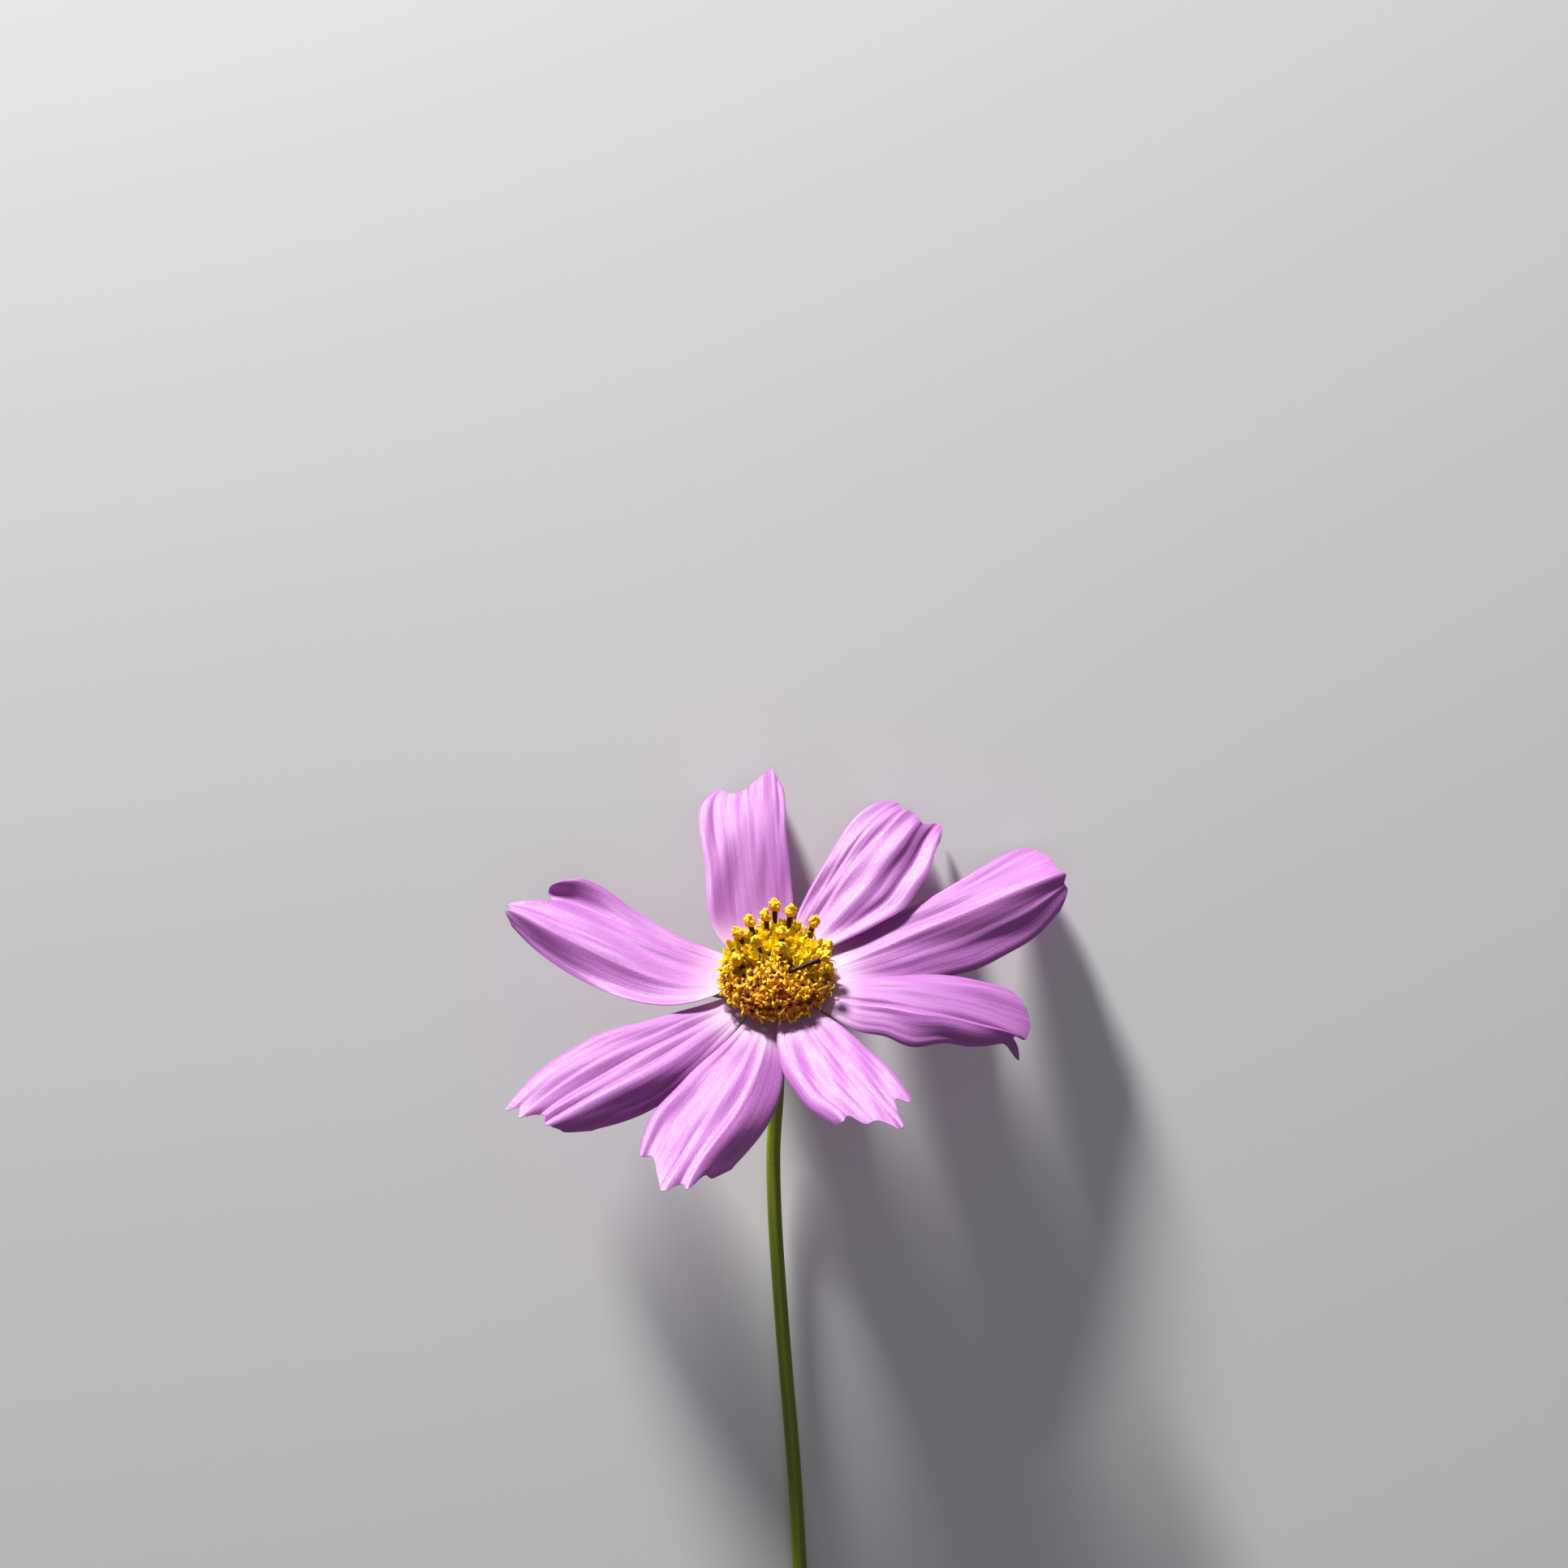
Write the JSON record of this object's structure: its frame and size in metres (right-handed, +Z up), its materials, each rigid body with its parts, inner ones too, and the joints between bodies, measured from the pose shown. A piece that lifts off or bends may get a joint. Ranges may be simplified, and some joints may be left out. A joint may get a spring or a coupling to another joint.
{
  "type": "cosmos flower",
  "caption": "Single lilac-pink cosmos flower with toothed petals, a golden disc of florets, green bracts and a slim cut stem, lying on its back.",
  "frame": {"origin": "on the surface the flower lies on, under the middle of its box", "axes": "+Y from the cut end of the stem to the head, +Z up, away from the surface and to the flower's lit face, +X to the right of the flower seen from above"},
  "size_m": [0.0658, 0.1219, 0.0362],
  "materials": {
    "petal": "silky lilac-pink petal skin with fine lengthwise veins, paler at the root, light shining through it",
    "floret": "matte golden-yellow florets, browner and more orange near the rim",
    "anther": "satin dark brown anther tubes",
    "pollen": "matte bright yellow knobs of pollen",
    "stem": "satin olive-green skin with fine ribs and a groove",
    "bract": "thin yellow-green bracts with brown streaks and pale margins"
  },
  "bodies": {
    "root": {"stem": "stem", "receptacle": "stem", "inner_bracts": "bract", "disc": "floret", "petal_1": "petal", "petal_2": "petal", "petal_3": "petal", "petal_4": "petal", "petal_5": "petal", "petal_6": "petal", "petal_7": "petal", "petal_8": "petal"}
  },
  "joints": []
}
